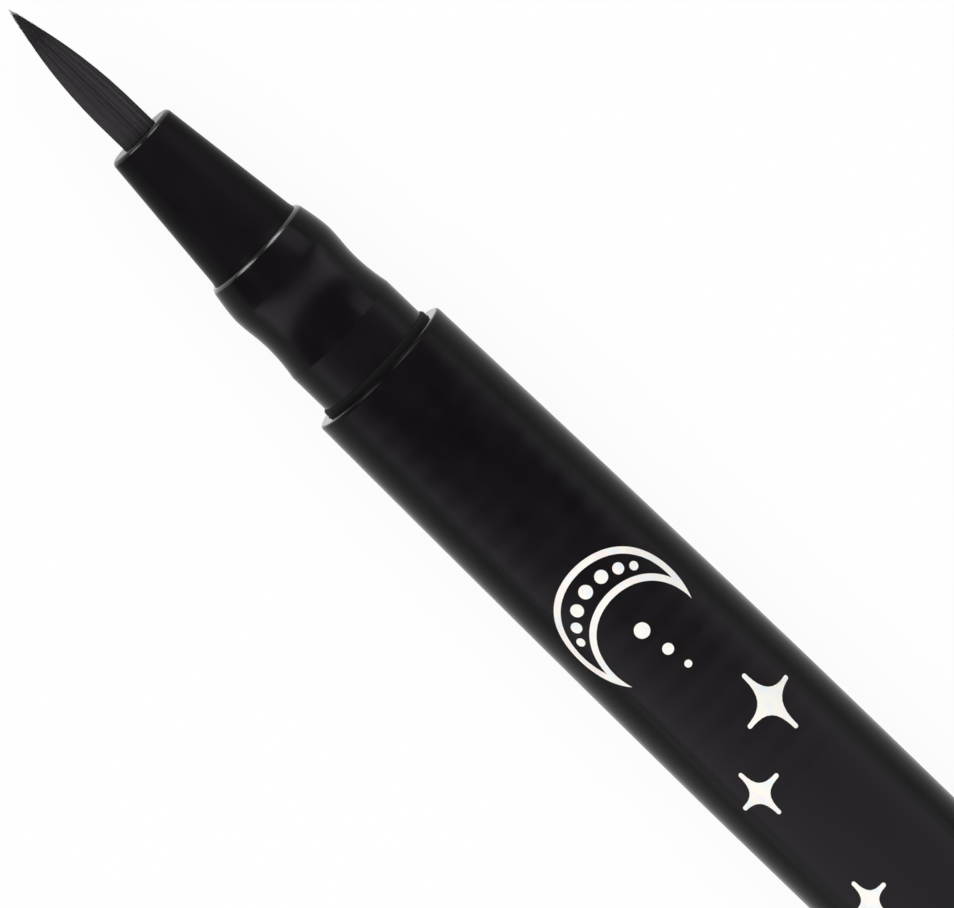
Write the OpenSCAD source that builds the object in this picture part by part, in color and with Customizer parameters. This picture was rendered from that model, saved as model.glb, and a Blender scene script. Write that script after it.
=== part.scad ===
// Liquid eyeliner pen with a brush tip, lying on its side with its cap pushed onto the tail.
// Each piece is turned about the pen's own axis. Stations along that axis are measured from the
// barrel's front edge: they are negative towards the brush and grow towards the tail.

/* [Brush] */
// Thickness of the tuft where it leaves the nozzle
tuft_d = 2.49; // [2.3:0.01:2.6]
// Length of tuft that stands out of the nozzle
tuft_out = 10.96; // [10.5:0.1:11.4]
// Length over which the tuft narrows to its point
taper_len = 9; // [7.5:0.1:9.8]
// Length at the point over which the strands end one after another
point_len = 2.4; // [1.8:0.1:3]
// Radius of the tuft, in strand spacings
strand_rings = 9; // [9:0.5:11]
// Length of the bonded root that the strands stand in
root_len = 1.2; // [1:0.1:1.6]

/* [Nozzle] */
// Length of the cone ahead of the collar
cone_len = 9.66; // [9.4:0.1:10.4]
// Diameter of the cone at its flat front
cone_front_d = 4.68; // [4.5:0.01:4.9]
// Rounding of the cone's front edge
front_round = 0.3; // [0.2:0.02:0.4]
// Diameter of the cone above the flare at its root
cone_root_d = 6.63; // [6.4:0.01:6.7]
// Length of the flare at the cone's root
flare_len = 0.36; // [0.3:0.02:0.5]
// Diameter that the flare reaches on the collar
flare_d = 6.8; // [6.76:0.01:6.9]
// Length of the mouth that guides the strands ahead of their root
mouth_len = 3.6; // [3.2:0.1:4]
// Diameter of the seat that holds the bonded root
socket_d = 4.2; // [4.1:0.02:4.24]
// Length of the spigot that plugs into the collar
nozzle_plug_len = 5; // [4:0.1:6]
// Diameter of that spigot
nozzle_plug_d = 6.2; // [6.1:0.02:6.24]
// Height of the snap bead on that spigot
bead_h = 0.1; // [0.06:0.01:0.12]

/* [Cap seat] */
// Length of the bare ring at the foot of the seat
foot_len = 0.5; // [0.4:0.05:0.7]
// Diameter of the straight register that the cap fits over
register_d = 8.14; // [8.08:0.01:8.16]
// Length of the straight register
register_len = 2.76; // [2.4:0.05:3]
// Diameter at the waist that the cap's bead drops into
waist_d = 7.66; // [7.6:0.02:7.7]
// Distance from the register's end to the waist
waist_run = 2.43; // [2.2:0.05:2.6]
// Diameter of the bulge that the bead rides over
bulge_d = 7.97; // [7.88:0.01:8]
// Distance from the waist to the bulge
bulge_run = 2.42; // [2.2:0.05:2.6]
// Diameter of the seat's front lip, behind its rounding
lip_d = 7.27; // [7.2:0.01:7.32]
// Distance from the bulge to the lip
lip_run = 2.33; // [2.1:0.05:2.5]
// Length of the rounding on the lip
lip_round = 0.3; // [0.2:0.02:0.4]
// How far that rounding draws the lip in
lip_drop = 0.15; // [0.08:0.01:0.18]

/* [Barrel] */
// Length of the barrel
barrel_len = 86; // [80:1:96]
// Diameter at both ends of the barrel
barrel_end_d = 10.1; // [10.04:0.02:10.2]
// Diameter of the barrel's straight middle
barrel_d = 10.9; // [10.6:0.05:11]
// Length of the bow from each end to the straight middle
bow_len = 35; // [30:1:38]
// Rounding of the barrel's front edge
barrel_round = 0.25; // [0.16:0.01:0.34]
// Bore of the barrel
barrel_bore = 8.6; // [8.56:0.01:8.64]

/* [Ink system] */
// Bore of the reservoir tube
tube_bore = 7; // [6.9:0.02:7.1]
// Distance from the barrel's rear end to the tube's rear end
tube_inset = 9; // [8:0.5:11]
// Length of the collar's spigot inside the tube
collar_plug_len = 6; // [5:0.5:7]
// Diameter of the fibre feed rod
feed_d = 2; // [1.9:0.02:2.1]
// Length of feed rod that stands in the ink
feed_dip = 5; // [4:0.5:8]
// Diameter of the collector's spine and nose
spine_d = 4; // [3.8:0.05:4.1]
// Number of collector fins
fin_count = 24; // [20:1:26]
// Thickness of one fin
fin_t = 0.35; // [0.3:0.01:0.4]
// Distance from one fin to the next
fin_pitch = 0.8; // [0.74:0.01:0.9]
// Width of the collector's ink slot
ink_slot_w = 0.2; // [0.14:0.01:0.3]
// Width of the collector's air channel
air_slot_w = 1.2; // [1:0.05:1.4]
// Depth of the air channel below the spine's surface
air_slot_deep = 0.4; // [0.3:0.02:0.5]
// Length of the rubber bush behind the collector
bush_len = 3; // [2.6:0.1:4]
// Diameter of the steel mixing ball
ball_d = 4; // [3.6:0.1:4.2]
// Length of the tail plug inside the tube
plug_len = 5; // [4.6:0.1:6]
// Thickness of the tail plug's rim and front wall
plug_wall = 1; // [0.8:0.05:1.2]
// Thickness of the tail plug's rubber ring
ring_d = 0.8; // [0.7:0.02:0.9]

/* [End cap] */
// Thickness of the end cap's flange
flange_t = 1.2; // [1:0.05:1.6]
// Wall of the end cap's hollow seat
tail_wall = 1.1; // [0.9:0.05:1.3]

/* [Cap] */
// Length of the cap
cap_len = 39; // [38:0.5:42]
// Length over which the cap bows out from its mouth
cap_bow_len = 26; // [22:1:30]
// Wall of the cap shell round its liner
mouth_wall = 0.5; // [0.46:0.01:0.52]
// Bore of the cap shell that the inner cap slides in
cap_bore = 7.8; // [7.74:0.02:7.9]
// Wall of the cap's closed end
cap_end_wall = 2; // [1.6:0.1:2.4]
// Rounding of the cap's closed end
cap_end_round = 2.4; // [1.8:0.1:2.6]
// Thickness of the liner's inner flange that keeps the inner cap in
retain_t = 0.6; // [0.5:0.05:0.8]
// Distance that the nozzle pushes the inner cap back in the closed cap
cup_press = 1.2; // [1:0.1:1.5]
// Bore of the inner cap where it takes the nozzle
cup_bore = 5.9; // [5.86:0.01:5.98]
// Length of the inner cap's wide part
cup_len = 11; // [10.6:0.1:11.6]
// Length of the flange that guides the inner cap
cup_flange_len = 3; // [2.4:0.1:4]
// Wall of the inner cap
cup_wall = 0.45; // [0.4:0.01:0.5]
// Bore of the nose that covers the tuft
nose_bore = 3.4; // [3.2:0.05:3.5]
// Room behind that nose for the inner cap's travel
cup_room = 4.66; // [4:0.1:5]
// Diameter of the spring's wire
wire_d = 0.4; // [0.36:0.01:0.44]
// Diameter of the spring at the middle of its wire
spring_d = 5.4; // [5.3:0.05:5.6]
// Turns of the spring
spring_turns = 8; // [7:1:9]

/* [Clearances] */
// Gap round a piece that is pushed into another
fit_gap = 0.05; // [0.04:0.005:0.06]
// Gap round a piece that slides or lies loose
slide_gap = 0.1; // [0.08:0.005:0.12]

/* [Hidden] */
$fn = 64;

// Overrun of every cut
over = 1;
// Small chamfer on moulded edges
edge = 0.1;
// Lead-in chamfer on what is pushed into a bore
lead = 0.3;
// Depth of the recess between two guiding lands
recess = 0.3;
// Steps that draw one long curve of an outline, and one rounded edge
curve_steps = 20;
round_steps = 6;
// How steeply the seat falls from its bulge to its lip, and how fast the barrel's bow levels out
lip_power = 1.45;
bow_power = 1.5;

// Sizes of the strands: the share of their spacing that they fill, their sides, and the length
// of their own points
fill_share = 0.84;
strand_sides = 3;
strand_point = 0.9;
// Places along the taper where each strand bends, as shares of the taper
bend_shares = [0.91, 0.58];

// Radii that pieces share
tuft_r = tuft_d / 2;
mouth_r = tuft_r + fit_gap;
socket_r = socket_d / 2;
root_r = socket_r - fit_gap;
cone_root_r = cone_root_d / 2;
cone_front_r = cone_front_d / 2;
cone_slope = (cone_root_r - cone_front_r) / cone_len;
nozzle_plug_r = nozzle_plug_d / 2;
feed_r = feed_d / 2;
feed_bore_r = feed_r + fit_gap;
spine_r = spine_d / 2;
tube_bore_r = tube_bore / 2;
fin_r = tube_bore_r - slide_gap;
tube_r = barrel_bore / 2 - fit_gap;
end_r = barrel_end_d / 2;
barrel_r = barrel_d / 2;
register_r = register_d / 2;
waist_r = waist_d / 2;
bulge_r = bulge_d / 2;
lip_r = lip_d / 2;
ball_r = ball_d / 2;

// Stations of the pen, from the brush to the tail
seat_len = register_len + waist_run + bulge_run + lip_run;
lip_at = -foot_len - seat_len;
mouth_at = lip_at - cone_len;
tip_at = mouth_at - tuft_out;
root_at = mouth_at + mouth_len;
root_back = root_at + root_len;
nozzle_back = lip_at + nozzle_plug_len;
comb_at = collar_plug_len - foot_len;
fin_gap = fin_pitch - fin_t;
land_t = 2 * fin_t;
comb_len = 2 * land_t + fin_gap + fin_count * fin_pitch;
comb_back = comb_at + comb_len;
bush_back = comb_back + bush_len;
feed_back = bush_back + feed_dip;
tube_back = barrel_len - tube_inset;
plug_at = tube_back - plug_len;
ball_at = plug_at - ball_r - lead;
end_cap_at = tube_back + plug_wall;
seat_at = barrel_len + flange_t;
tail_end = seat_at + foot_len + seat_len;

// Stations of the cap on the tail
cap_mouth = seat_at + slide_gap;
cap_back = cap_mouth + cap_len;
cap_floor = cap_back - cap_end_wall;
liner_at = seat_at + foot_len + lead;
bead_at = seat_at + foot_len + register_len + waist_run;
retain_at = tail_end + slide_gap;
liner_back = retain_at + retain_t;
cup_at = liner_back + slide_gap;
shoulder_at = cup_at + cup_len;
nose_back = cap_floor - cup_room;

// Radii of the cap's pieces
pocket_r = end_r - mouth_wall;
liner_r = pocket_r - fit_gap;
liner_bore_r = register_r + fit_gap;
bead_bore_r = bulge_r + fit_gap;
retain_r = flare_d / 2 + slide_gap;
cap_bore_r = cap_bore / 2;
cup_r = cup_bore / 2;
nose_r = nose_bore / 2;
// Radius of the nozzle where the closed cap's inner cup meets it
seal_r = cone_root_r - cone_slope * (cup_at - tail_end + cup_press) + fit_gap;

// The pen lies with its axis level and the middle of its length over the origin
mid_at = (tip_at + cap_back) / 2;
module laid() {
    translate([-mid_at, 0, barrel_r]) rotate([0, 90, 0]) children();
}

// A piece turned about the pen's axis, from an outline of radius and station
module turned(outline) {
    laid() rotate_extrude() polygon(outline);
}

// Points of a cylinder wall from one station to another, with a chamfer at each end
function wall(r, from, to, cut = edge) =
    [[r - cut, from], [r, from + cut], [r, to - cut], [r - cut, to]];

// Points of a rounded edge, from a face that looks to the brush to the wall behind it
function rounded(r, from, size) =
    [for (k = [0:round_steps]) let (a = 90 * k / round_steps)
        [r - size * (1 - sin(a)), from + size * (1 - cos(a))]];

// The seat that the cap snaps over: register, waist, bulge and lip, as radius and distance. The
// lip's points crowd towards its end, where it is rounded.
function lip_fall(x) =
    let (round_share = max(1 - (1 - x) * lip_run / lip_round, 0))
    (bulge_r - lip_r) * pow(x, lip_power) + lip_drop * (1 - sqrt(1 - pow(round_share, 2)));
function seat_radius(x, part) =
    part == 0 ? waist_r + (register_r - waist_r) * pow(1 - x, 2) :
    part == 1 ? waist_r + (bulge_r - waist_r) * (1 - cos(180 * x)) / 2 :
    bulge_r - lip_fall(x);
function seat_share(x, part) = part == 2 ? 1 - pow(1 - x, 2) : x;
seat_runs = [waist_run, bulge_run, lip_run];
seat_starts = [register_len, register_len + waist_run, register_len + waist_run + bulge_run];
seat_curve = concat(
    [[register_r, 0], [register_r, register_len]],
    [for (part = [0:2], k = [1:curve_steps]) let (x = seat_share(k / curve_steps, part))
        [seat_radius(x, part), seat_starts[part] + seat_runs[part] * x]]);

// The long bow of the barrel and the cap, as radius over a share of its length
function bow(x) = barrel_r - (barrel_r - end_r) * pow(1 - x, bow_power);

// Radius between two strands where the tuft is one distance from its point
function spacing(d) =
    let (x = min(max(d, point_len) / taper_len, 1))
    tuft_r * (1 - pow(1 - x, 2)) / (strand_rings + fill_share / 2);
strand_len = tuft_out + mouth_len;
row_h = sqrt(3) / 2;
strand_rows = ceil(strand_rings / row_h);
strand_places = [for (i = [-strand_rows:strand_rows], j = [-strand_rows:strand_rows])
    let (p = [i + j / 2, j * row_h]) if (norm(p) <= strand_rings) p];

// One strand: rings of corners from its root to its bends, then a point. The outer strands end
// first, and all of them run straight and side by side over the last stretch.
module strand(place) {
    out_share = norm(place) / strand_rings;
    end = point_len * out_share;
    last_bend = point_len + strand_point * out_share;
    bends = concat([strand_len], taper_len * bend_shares, [last_bend]);
    corners = [for (d = bends, s = [0:strand_sides - 1])
        let (a = 360 * s / strand_sides)
        [for (c = (place + fill_share / 2 * [cos(a), sin(a)]) * spacing(d)) c]];
    rings = [for (k = [0:len(corners) - 1])
        [corners[k][0], corners[k][1], bends[floor(k / strand_sides)]]];
    tip = [place[0] * spacing(end), place[1] * spacing(end), end];
    last = strand_sides * (len(bends) - 1);
    sides = [for (k = [0:len(bends) - 2], s = [0:strand_sides - 1])
        let (a = strand_sides * k + s, b = strand_sides * k + (s + 1) % strand_sides)
        each [[a, b + strand_sides, a + strand_sides], [a, b, b + strand_sides]]];
    point = [for (s = [0:strand_sides - 1])
        [last + s, last + (s + 1) % strand_sides, last + strand_sides]];
    root = [for (s = [strand_sides - 1:-1:0]) s];
    polyhedron(concat(rings, [tip]), concat([root], sides, point));
}

// Strands and bonded root are one faceted body, held to the brush's whole length
module bristle_bundle() {
    color([0.19, 0.18, 0.19]) laid() translate([0, 0, tip_at])
        resize([0, 0, strand_len + root_len]) union() {
            for (place = strand_places) strand(place);
            translate([0, 0, strand_len]) cylinder(r = root_r, h = root_len, $fn = 32);
        }
}

// Tube that keeps the bonded root against the nozzle's inner shoulder
module brush_retainer() {
    land = root_len;
    color([0.85, 0.85, 0.83]) turned(concat(
        [[feed_bore_r, root_back]],
        wall(root_r, root_back, root_back + land),
        [[root_r - recess, root_back + land + recess],
            [root_r - recess, nozzle_back - land - recess]],
        wall(root_r, nozzle_back - land, nozzle_back),
        [[feed_bore_r, nozzle_back]]));
}

module nozzle() {
    bead_mid = (lip_at + nozzle_back) / 2;
    color([0.09, 0.08, 0.09]) turned(concat(
        [[mouth_r, mouth_at]],
        rounded(cone_front_r + front_round * cone_slope, mouth_at, front_round),
        [[cone_root_r, lip_at - flare_len],
            [flare_d / 2, lip_at],
            [nozzle_plug_r, lip_at],
            [nozzle_plug_r, bead_mid - 2 * bead_h],
            [nozzle_plug_r + bead_h, bead_mid - bead_h],
            [nozzle_plug_r + bead_h, bead_mid + bead_h],
            [nozzle_plug_r, bead_mid + 2 * bead_h],
            [nozzle_plug_r, nozzle_back - lead],
            [nozzle_plug_r - lead, nozzle_back],
            [socket_r, nozzle_back],
            [socket_r, root_at],
            [mouth_r, root_at]]));
}

// Fibre rod that leads the ink from the reservoir to the brush root
module feed_core() {
    color([0.8, 0.79, 0.76]) turned(concat(
        [[0, root_back]],
        wall(feed_r, root_back, feed_back - recess),
        [[feed_r - recess, feed_back], [0, feed_back]]));
}

module collar() {
    bore = nozzle_plug_r + fit_gap;
    bead_mid = (lip_at + nozzle_back) / 2;
    passage = spine_r + fit_gap;
    plug_r = tube_bore_r - fit_gap;
    color([0.07, 0.07, 0.07]) turned(concat(
        [[passage, comb_at], [plug_r - lead, comb_at], [plug_r, comb_at - lead],
            [plug_r, -foot_len]],
        [for (p = seat_curve) [p[0], -foot_len - p[1]]],
        [[bore, lip_at],
            [bore, bead_mid - 2 * bead_h],
            [bore + bead_h, bead_mid - bead_h],
            [bore + bead_h, bead_mid + bead_h],
            [bore, bead_mid + 2 * bead_h],
            [bore, nozzle_back + slide_gap],
            [passage, nozzle_back + slide_gap]]));
}

// Comb that takes up the ink that warm air drives out of the reservoir
module collector() {
    first_fin = comb_at + land_t + fin_gap;
    rear_land = first_fin + fin_count * fin_pitch;
    outline = concat(
        [[feed_bore_r, nozzle_back], [spine_r - edge, nozzle_back],
            [spine_r, nozzle_back + edge], [spine_r, comb_at],
            [fin_r, comb_at], [fin_r, comb_at + land_t], [spine_r, comb_at + land_t]],
        [for (i = [0:fin_count - 1]) let (at = first_fin + i * fin_pitch)
            each [[spine_r, at], [fin_r, at], [fin_r, at + fin_t], [spine_r, at + fin_t]]],
        [[spine_r, rear_land], [fin_r, rear_land], [fin_r, comb_back],
            [feed_bore_r, comb_back]]);
    color([0.93, 0.93, 0.91]) difference() {
        turned(outline);
        laid() translate([0, -ink_slot_w / 2, comb_at + land_t])
            cube([fin_r + over, ink_slot_w, comb_len]);
        laid() translate([-fin_r - over, -air_slot_w / 2, comb_at - over])
            cube([fin_r + over - spine_r + air_slot_deep, air_slot_w,
                comb_len - land_t + over]);
    }
}

// Rubber bush that closes the reservoir round the feed rod
module collector_bush() {
    lip = bush_len / 3;
    bush_r = tube_bore_r - fit_gap;
    color([0.2, 0.2, 0.21]) turned(concat(
        [[feed_bore_r, comb_back]],
        wall(bush_r, comb_back, comb_back + lip),
        [[bush_r - recess, comb_back + lip + edge], [bush_r - recess, bush_back - lip - edge]],
        wall(bush_r, bush_back - lip, bush_back),
        [[feed_bore_r, bush_back]]));
}

// Ink tube, whose front rim shows as a thin ring between the collar and the barrel
module reservoir_tube() {
    color([0.08, 0.08, 0.09]) turned(concat(
        [[tube_bore_r, -foot_len]],
        wall(tube_r, -foot_len, tube_back),
        [[tube_bore_r, tube_back]]));
}

module mixing_ball() {
    drop = tube_bore_r - slide_gap - ball_r;
    color([0.75, 0.76, 0.78]) laid() translate([drop, 0, ball_at]) sphere(ball_r);
}

// Plug that closes the tube's rear end
module tail_plug() {
    plug_r = tube_bore_r - fit_gap;
    ring_mid = (plug_at + tube_back) / 2;
    half = ring_d / 2 + fit_gap;
    groove_r = plug_r - ring_d - fit_gap;
    well_r = groove_r - plug_wall;
    color([0.86, 0.86, 0.84]) turned([
        [0, plug_at],
        [plug_r - lead, plug_at],
        [plug_r, plug_at + lead],
        [plug_r, ring_mid - half],
        [groove_r, ring_mid - half],
        [groove_r, ring_mid + half],
        [plug_r, ring_mid + half],
        [plug_r, tube_back],
        [tube_r, tube_back],
        [tube_r, end_cap_at],
        [well_r, end_cap_at],
        [well_r, plug_at + plug_wall],
        [0, plug_at + plug_wall]]);
}

module plug_ring() {
    ring_r = ring_d / 2;
    color([0.12, 0.12, 0.12]) laid()
        translate([0, 0, (plug_at + tube_back) / 2]) rotate_extrude()
            translate([tube_bore_r - fit_gap - ring_r, 0]) circle(ring_r, $fn = 24);
}

module barrel() {
    bore_r = barrel_bore / 2;
    rise = [for (k = [1:curve_steps]) k / curve_steps];
    color([0.08, 0.08, 0.08]) turned(concat(
        [[bore_r, 0]],
        rounded(end_r, 0, barrel_round),
        [for (x = rise) [bow(x), bow_len * x]],
        [for (x = rise) [bow(1 - x + rise[0]), barrel_len - bow_len * (1 - x + rise[0])]],
        [[end_r, barrel_len - edge], [end_r - edge, barrel_len], [bore_r, barrel_len]]));
}

// Cap for the barrel's rear end, with the same seat as the collar for the pen's own cap
module end_cap() {
    well_r = waist_r - tail_wall;
    color([0.08, 0.08, 0.08]) turned(concat(
        [[well_r, end_cap_at], [tube_r - lead, end_cap_at], [tube_r, end_cap_at + lead],
            [tube_r, barrel_len]],
        wall(end_r, barrel_len, seat_at),
        [[tube_r, seat_at], [tube_r, seat_at + foot_len - edge],
            [tube_r - edge, seat_at + foot_len]],
        [for (p = seat_curve) [p[0], seat_at + foot_len + p[1]]],
        [[0, tail_end], [0, tail_end - tail_wall], [well_r, tail_end - tail_wall]]));
}

module cap_shell() {
    rise = [for (k = [1:curve_steps]) k / curve_steps];
    color([0.08, 0.08, 0.08]) turned(concat(
        [[pocket_r, cap_mouth], [end_r - edge, cap_mouth], [end_r, cap_mouth + edge]],
        [for (x = rise) [bow(x), cap_mouth + cap_bow_len * x]],
        [for (x = concat([0], rise))
            [barrel_r - cap_end_round * (1 - cos(90 * x)),
                cap_back - cap_end_round * (1 - sin(90 * x))]],
        [[0, cap_back], [0, cap_floor], [cap_bore_r, cap_floor],
            [cap_bore_r, liner_back], [pocket_r, liner_back]]));
}

// Sleeve with the bead that snaps into the seat's waist, and a flange that keeps the inner cap in
module cap_liner() {
    color([0.1, 0.1, 0.1]) turned(concat(
        wall(liner_r, liner_at, liner_back),
        [[retain_r, liner_back],
            [retain_r, retain_at],
            [liner_bore_r, retain_at],
            [liner_bore_r, bead_at + 2 * lead],
            [bead_bore_r, bead_at + lead],
            [bead_bore_r, bead_at - lead],
            [liner_bore_r, bead_at - 2 * lead],
            [liner_bore_r, liner_at + edge],
            [liner_bore_r + edge, liner_at]]));
}

// Sprung cup that seals on the nozzle and keeps the tuft moist when the cap is on
module inner_cap() {
    flange_r = cap_bore_r - slide_gap;
    seal_len = (seal_r - cup_r) / cone_slope;
    color([0.82, 0.82, 0.8]) turned(concat(
        [[seal_r, cup_at]],
        wall(flange_r, cup_at, cup_at + cup_flange_len),
        [[cup_r + cup_wall, cup_at + cup_flange_len],
            [cup_r + cup_wall, shoulder_at],
            [nose_r + cup_wall, shoulder_at],
            [nose_r + cup_wall, nose_back - lead],
            [nose_r + cup_wall - lead, nose_back],
            [0, nose_back],
            [0, nose_back - cup_wall],
            [nose_r, nose_back - cup_wall],
            [nose_r, shoulder_at - cup_wall],
            [cup_r, shoulder_at - cup_wall],
            [cup_r, cup_at + seal_len]]));
}

// Spring between the inner cap's shoulder and the cap's closed end, one tube along a helix
wire_sides = 6;
rings_a_turn = 8;
wire_r = wire_d / 2;
coil_from = shoulder_at + wire_r + fit_gap;
coil_run = cap_floor - wire_r - fit_gap - coil_from;
coil_rings = spring_turns * rings_a_turn;
coil_rise = atan(coil_run / (PI * spring_d * spring_turns));
function coil_point(k) =
    let (a = 360 * k / rings_a_turn)
    [spring_d / 2 * cos(a), spring_d / 2 * sin(a), coil_from + coil_run * k / coil_rings];
function coil_ring(k) =
    let (a = 360 * k / rings_a_turn, out = [cos(a), sin(a), 0],
        up = [sin(a) * sin(coil_rise), -cos(a) * sin(coil_rise), cos(coil_rise)])
    [for (s = [0:wire_sides - 1])
        coil_point(k) + wire_r * (cos(360 * s / wire_sides) * out + sin(360 * s / wire_sides) * up)];
spring_gap = min([for (k = [0:coil_rings - rings_a_turn], n = [-1:1])
    if (k + rings_a_turn + n <= coil_rings)
        norm(coil_point(k + rings_a_turn + n) - coil_point(k))]) - wire_d;
echo(spring_gap = spring_gap);

module cap_spring() {
    last = wire_sides * coil_rings;
    sides = [for (k = [0:coil_rings - 1], s = [0:wire_sides - 1])
        let (a = wire_sides * k + s, b = wire_sides * k + (s + 1) % wire_sides)
        each [[a, a + wire_sides, b + wire_sides], [a, b + wire_sides, b]]];
    first_end = [for (s = [0:wire_sides - 1]) s];
    last_end = [for (s = [wire_sides - 1:-1:0]) last + s];
    color([0.6, 0.6, 0.62]) laid()
        polyhedron([for (k = [0:coil_rings]) each coil_ring(k)],
            concat([first_end], sides, [last_end]));
}

bristle_bundle();
brush_retainer();
nozzle();
feed_core();
collar();
collector();
collector_bush();
reservoir_tube();
mixing_ball();
tail_plug();
plug_ring();
barrel();
end_cap();
cap_shell();
cap_liner();
inner_cap();
cap_spring();
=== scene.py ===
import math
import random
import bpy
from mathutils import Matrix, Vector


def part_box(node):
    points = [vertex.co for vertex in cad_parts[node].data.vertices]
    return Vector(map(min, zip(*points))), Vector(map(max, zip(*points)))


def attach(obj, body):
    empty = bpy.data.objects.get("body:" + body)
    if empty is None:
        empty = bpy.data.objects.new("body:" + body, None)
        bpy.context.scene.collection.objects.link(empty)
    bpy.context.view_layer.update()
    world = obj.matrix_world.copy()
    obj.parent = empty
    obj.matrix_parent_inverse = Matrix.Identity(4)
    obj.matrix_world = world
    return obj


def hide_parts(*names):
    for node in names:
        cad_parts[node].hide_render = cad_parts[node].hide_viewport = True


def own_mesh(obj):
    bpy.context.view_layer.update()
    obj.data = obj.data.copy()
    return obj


bl_info = {
    "name": "Brush-tip liner pen",
    "version": (1, 0, 0),
    "blender": (4, 5, 0),
    "location": "View3D > Sidebar > Liner Pen",
    "description": "Dresses the liner pen with its brush, foil print, spring, finishes and studio",
    "category": "Object",
}

import bpy
from bpy.props import FloatProperty, FloatVectorProperty, IntProperty, PointerProperty
from bpy.types import Operator, Panel, PropertyGroup
from mathutils import Matrix, Quaternion, Vector

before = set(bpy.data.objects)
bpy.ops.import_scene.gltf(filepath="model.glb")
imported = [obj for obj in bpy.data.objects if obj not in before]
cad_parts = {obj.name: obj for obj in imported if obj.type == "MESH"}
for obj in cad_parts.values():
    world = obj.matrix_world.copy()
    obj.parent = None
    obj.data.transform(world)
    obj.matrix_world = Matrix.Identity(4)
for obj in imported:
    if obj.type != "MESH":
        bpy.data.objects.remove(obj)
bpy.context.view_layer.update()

MM = 0.001

# Places that the frame gives: the pen's axis, the barrel's front edge, the brush with its seat,
# and the spring in the cap
COLLAR_LOW, COLLAR_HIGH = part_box("collar")
AXIS_Z = (COLLAR_LOW.z + COLLAR_HIGH.z) / 2
BARREL_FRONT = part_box("barrel")[0].x
TUFT_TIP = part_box("bristle_bundle")[0].x
NOZZLE_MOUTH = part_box("nozzle")[0].x
ROOT_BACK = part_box("brush_retainer")[0].x
ROOT_RADIUS = (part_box("bristle_bundle")[1].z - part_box("bristle_bundle")[0].z) / 2
SPRING_LOW, SPRING_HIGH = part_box("cap_spring")


def srgb(red, green, blue):
    """Linear colour of a screen colour given from 0 to 255."""
    made = []
    for part in (red, green, blue):
        share = part / 255
        made.append(share / 12.92 if share <= 0.04045 else ((share + 0.055) / 1.055) ** 2.4)
    return tuple(made)


def length(name, description, default):
    """A length that a user can set, in metres."""
    return FloatProperty(
        name=name, description=description, default=default, unit="LENGTH", precision=5
    )


def colour(name, description, default):
    """A colour that a user can set."""
    return FloatVectorProperty(
        name=name, description=description, default=default, subtype="COLOR", min=0.0, max=1.0
    )


def factor(name, description, default):
    """A share between 0 and 1 that a user can set."""
    return FloatProperty(
        name=name, description=description, default=default, subtype="FACTOR", min=0.0, max=1.0
    )


class BrushSettings(PropertyGroup):
    """Sizes and colours of the brush tuft."""

    width: length("Tuft width", "Thickness of the tuft where it leaves the nozzle", 2.49 * MM)
    taper: length("Taper", "Length over which the tuft narrows to its point", 9.0 * MM)
    point: length("Point", "Length at the point over which the strands end", 2.4 * MM)
    root: length("Root", "Length of the bonded root that the strands stand in", 1.2 * MM)
    rings: IntProperty(
        name="Rings", description="Rings of strands round the middle one", default=17, min=6, max=24
    )
    stagger: length("Stagger", "How far the ends of neighbouring strands differ", 0.4 * MM)
    stray: length("Stray", "How far a strand wanders sideways near its end", 0.016 * MM)
    dark: colour("Dark strands", "Colour of the darkest strands", srgb(46, 44, 46))
    light: colour("Light strands", "Colour of the lightest strands", srgb(73, 70, 73))


class PrintSettings(PropertyGroup):
    """Sizes, places and colours of the foil print."""

    line: length("Line width", "Width of the foil's outlines", 0.44 * MM)
    dot_share: factor("Dot share", "Share of the crescent's width that its dots fill", 0.42)
    proud: length("Foil thickness", "How far the foil stands proud of the barrel", 0.012 * MM)
    sunk: length("Foil seat", "How far the foil reaches into the barrel's skin", 0.04 * MM)
    moon_radius: length("Moon radius", "Radius of the moon's outer edge", 4.4 * MM)
    hollow_radius: length("Hollow radius", "Radius of the moon's inner edge", 3.5 * MM)
    hollow_shift: length(
        "Hollow shift", "Distance of the inner edge's middle from the moon's", 2.1 * MM
    )
    moon_at: length("Moon place", "Distance from the barrel's edge to the moon's middle", 20.7 * MM)
    moon_side: length("Moon side", "Distance of the moon's middle round the barrel", 0.6 * MM)
    ivory: colour("Ivory", "Main colour of the foil", srgb(251, 247, 239))
    rose: colour("Rose", "Warm tint that the foil shows in places", srgb(251, 235, 236))
    sky: colour("Sky", "Cool tint that the foil shows in places", srgb(234, 243, 250))


class SpringSettings(PropertyGroup):
    """Sizes of the spring behind the inner cap."""

    wire: length("Wire", "Diameter of the spring's wire", 0.4 * MM)
    turns: IntProperty(name="Turns", description="Turns of the spring", default=8, min=4, max=12)
    travel: length("Travel", "How far the inner cap squeezes the spring", 2.2 * MM)


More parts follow.
